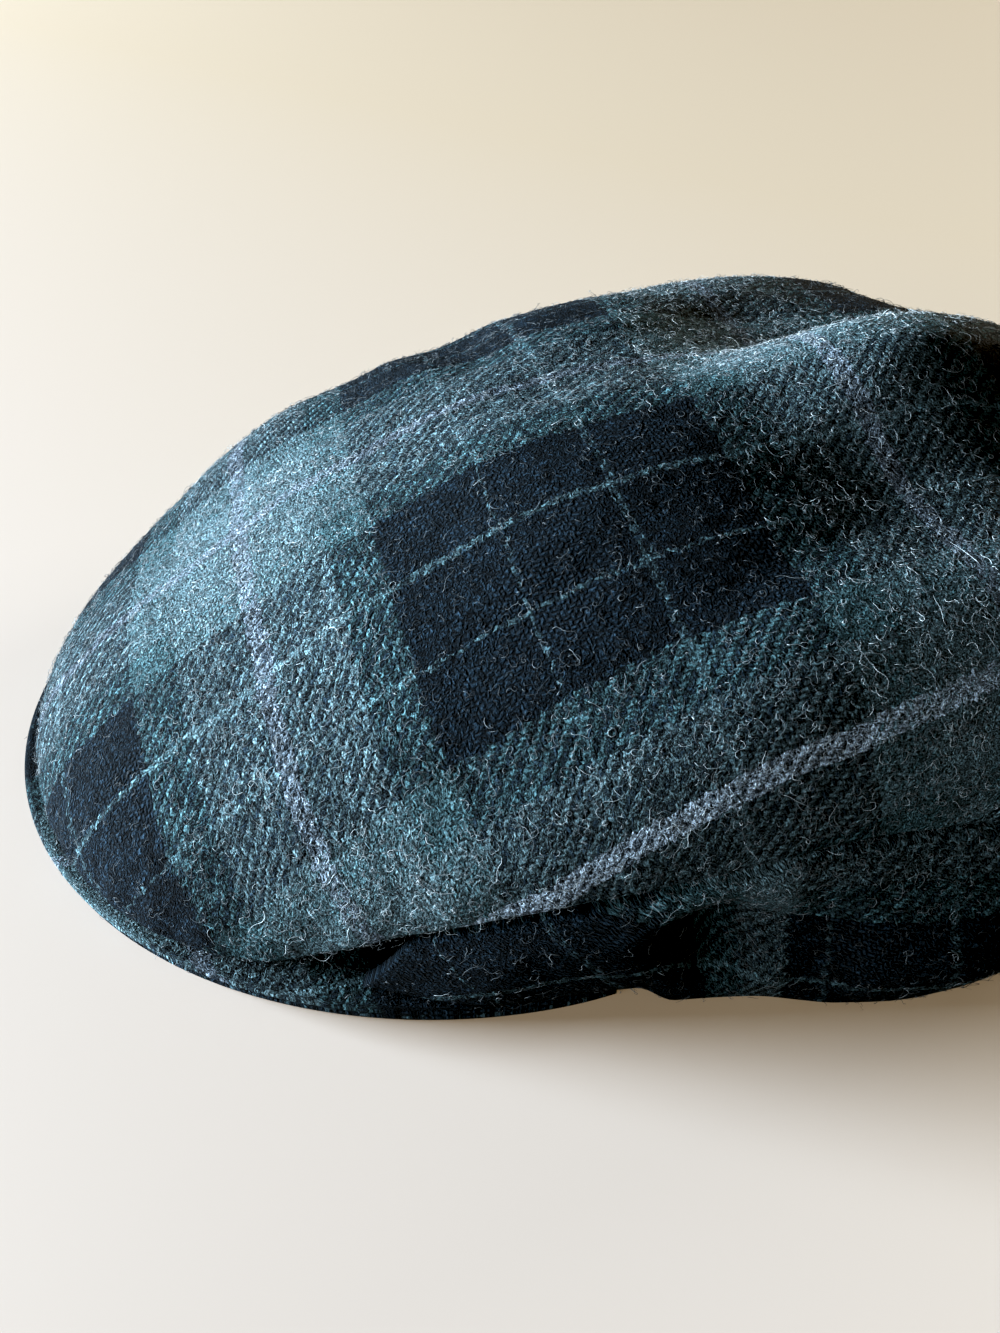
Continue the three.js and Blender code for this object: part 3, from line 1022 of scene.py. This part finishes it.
def fibre_patch(name, panel, count, seed, points, longest, turns):
    """One mesh of fibres: three corners round each point of a path, joined by quads, with closed ends."""
    random = np.random.default_rng(seed)
    path, normal, cloth = fibre_paths(panel, count, points, longest, turns, random)
    ahead = unit(np.gradient(path, axis=1))
    across = unit(np.cross(ahead, normal[:, None]))
    above = np.cross(across, ahead)
    thick = random.uniform(0.7, 1.2, (count, 1)) * FIBRE_RADIUS * MM
    taper = thick * (1 - TAPER * np.linspace(0, 1, points))
    turn = 2 * np.pi * np.arange(3) / 3
    ring = across[:, :, None] * np.cos(turn)[:, None] + above[:, :, None] * np.sin(turn)[:, None]
    corners = path[:, :, None] + ring * taper[:, :, None, None]
    index = np.arange(count * points * 3).reshape(count, points, 3)
    after = np.roll(index, -1, axis=2)
    quads = np.stack([index[:, :-1], after[:, :-1], after[:, 1:], index[:, 1:]], axis=-1).reshape(-1, 4)
    ends = np.concatenate([index[:, 0, ::-1], index[:, -1]])
    loops = np.concatenate([quads.ravel(), ends.ravel()])
    starts = np.concatenate([np.arange(len(quads)) * 4, quads.size + np.arange(len(ends)) * 3])
    mesh = bpy.data.meshes.new(name)
    mesh.vertices.add(corners.size // 3)
    mesh.vertices.foreach_set("co", corners.ravel())
    mesh.loops.add(len(loops))
    mesh.loops.foreach_set("vertex_index", loops)
    mesh.polygons.add(len(starts))
    mesh.polygons.foreach_set("loop_start", starts)
    mesh.polygons.foreach_set("use_smooth", np.ones(len(starts), bool))
    mesh.update(calc_edges=True)
    tint = random.beta(1.6, 2.0, count) * (TINT_IN_NAVY + (1 - TINT_IN_NAVY) * paleness(cloth) ** 0.9)
    mesh.attributes.new("tint", "FLOAT", "POINT").data.foreach_set("value", np.repeat(tint, points * 3))
    patch = bpy.data.objects.new(name, mesh)
    bpy.context.scene.collection.objects.link(patch)
    print(name, "has", count, "fibres,", 2 * len(quads) + len(ends), "triangles")
    return patch


fuzz = [
    fibre_patch("curls_top_a", top_panel, 3900, 1, **CURLS),
    fibre_patch("curls_top_b", top_panel, 3900, 2, **CURLS),
    fibre_patch("nap_top", top_panel, 7600, 3, **NAP),
    fibre_patch("curls_side_near", side_left, 820, 4, **CURLS),
    fibre_patch("nap_side_near", side_left, 2000, 5, **NAP),
    fibre_patch("curls_side_far", side_right, 820, 6, **CURLS),
    fibre_patch("nap_side_far", side_right, 2000, 7, **NAP),
    fibre_patch("nap_peak", peak_upper, 1300, 8, **NAP),
]

# %% [markdown]
# The loose fibres range from nearly black to a pale grey-blue, and they are paler where the yarns below
# them are. Each carries its own tint as an attribute, so one finish serves them all.

# %% Fibre finish
DARK_FIBRE = (0.010, 0.017, 0.025, 1)
PALE_FIBRE = (0.47, 0.55, 0.60, 1)


def fibre_wool():
    """One finish for all fibres, from dark to pale by their tint."""
    finish = Finish("wool_fibres")
    tint = finish.node("ShaderNodeAttribute", {"attribute_name": "tint"}, {})["Fac"]
    colour = finish.mix(tint, DARK_FIBRE, PALE_FIBRE)
    finish.surface({"Base Color": colour, "Roughness": 0.8, "Specular IOR Level": 0.2})
    return finish.material


fibre_finish = fibre_wool()
for patch in fuzz:
    patch.data.materials.append(fibre_finish)
print("fibres finished")

# %% [markdown]
# The cap lies on a plain pale table. It is a little cooler in front and warmer behind, which is painted
# warm light from the room behind it, and it glows very faintly, which is painted light that stands for
# the light that a whole room would send back into the shadow.

# %% Table
TABLE_HALF = 2.5
TABLE_DROP = 0.0002
COOL_FRONT = (0.380, 0.384, 0.398, 1)
# The warm colour behind is painted warm light from the room, not the table's own colour.
WARM_PAINTED_LIGHT = (0.378, 0.366, 0.335, 1)
WARMER_BACK = 1.9
WARMER_FAR = 1.1
WARMTH_HERE = 0.22


def pale_table():
    """The table's finish, with painted warm light towards the far rear and a faint painted glow."""
    finish = Finish("pale_table")
    place = finish.node("ShaderNodeTexCoord", {}, {})["Object"]
    spot = finish.node("ShaderNodeSeparateXYZ", {}, {"Vector": place})
    # Painted warm light: the colour turns warmer towards the far rear, for warm light from the room behind.
    away = spot["Y"] * WARMER_BACK - spot["X"] * WARMER_FAR + WARMTH_HERE
    away = away.math("MINIMUM", 1).math("MAXIMUM", 0)
    finish.surface(
        {
            "Base Color": finish.mix(away, COOL_FRONT, WARM_PAINTED_LIGHT),
            "Roughness": 0.6,
            "Specular IOR Level": 0.2,
            # Painted light: the faint warm glow stands for light that the room sends back into the shadow.
            "Emission Color": (1.0, 0.70, 0.35, 1),
            "Emission Strength": 0.20,
        }
    )
    return finish.material


table_top = bmesh.new()
bmesh.ops.create_grid(table_top, x_segments=4, y_segments=4, size=TABLE_HALF)
bmesh.ops.translate(table_top, verts=table_top.verts[:], vec=(0, 0, -TABLE_DROP))
table_mesh = bpy.data.meshes.new("table")
table_top.to_mesh(table_mesh)
table_top.free()
table = bpy.data.objects.new("table", table_mesh)
table.data.materials.append(pale_table())
bpy.context.scene.collection.objects.link(table)
print("table placed")

# %% [markdown]
# Soft daylight comes from one side. The window is a low lamp a few metres off, in front of the cap and on
# its far side, so the crown's front is bright and the near side falls into shade. A low warm lamp behind
# the cap lights the rear folds from the side, a small reflector beside the peak fills the near side a
# little, and the room adds a weak warm light from all round. A wider window would reach round to the near
# side and take its shade away.

# %% Light
LAMPS_AIM = Vector((0, 0, 0.03))
ROOM_COLOUR = (1.0, 0.87, 0.66, 1)
ROOM_STRENGTH = 0.10
LAMPS = {
    "window": {
        "place": (-2.10, -4.45, 0.76),
        "size": (2.2, 1.0),
        "energy": 2400,
        "colour": (0.90, 0.96, 1.0),
    },
    "room_lamp": {
        "place": (-1.40, 3.80, 0.26),
        "size": (1.9, 0.40),
        "energy": 430,
        "colour": (1.0, 0.92, 0.78),
    },
    "reflector": {
        "place": (0.42, -1.12, 0.22),
        "size": (0.7, 0.4),
        "energy": 17,
        "colour": (0.94, 0.97, 1.0),
    },
}
for name, lamp in LAMPS.items():
    light = bpy.data.objects.new(name, bpy.data.lights.new(name, "AREA"))
    light.data.shape = "RECTANGLE"
    light.data.size = lamp["size"][0]
    light.data.size_y = lamp["size"][1]
    light.data.energy = lamp["energy"]
    light.data.color = lamp["colour"]
    light.location = lamp["place"]
    light.rotation_mode = "QUATERNION"
    light.rotation_quaternion = (LAMPS_AIM - light.location).to_track_quat("-Z", "Y")
    bpy.context.scene.collection.objects.link(light)

room = bpy.data.worlds.new("room")
bpy.context.scene.world = room
room.use_nodes = True
background = room.node_tree.nodes["Background"]
background.inputs["Color"].default_value = ROOM_COLOUR
background.inputs["Strength"].default_value = ROOM_STRENGTH
print("lamps:", ", ".join(LAMPS))

# %% [markdown]
# The pieces join the imported model: each rides on its one body and stands for its node, which is
# hidden. The extent of each cloth panel on the flat cloth, the size it was cut to, is read from its
# cloth coordinates.

# %% Join the pieces to the frame
PIECES = (
    (top_panel, "top_panel", "plaid_wool"),
    (side_left, "side_panel_left", "plaid_wool"),
    (side_right, "side_panel_right", "plaid_wool"),
    (peak_upper, "peak_top", "plaid_wool"),
    (peak_lower, "peak_under", "peak_under_cloth"),
)
for piece, node, slot in PIECES:
    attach(piece, "root")
    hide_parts(node)
    extent = np.empty(2 * len(piece.data.loops))
    piece.data.uv_layers["cloth"].data.foreach_get("uv", extent)

for patch in fuzz:
    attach(patch, "root")
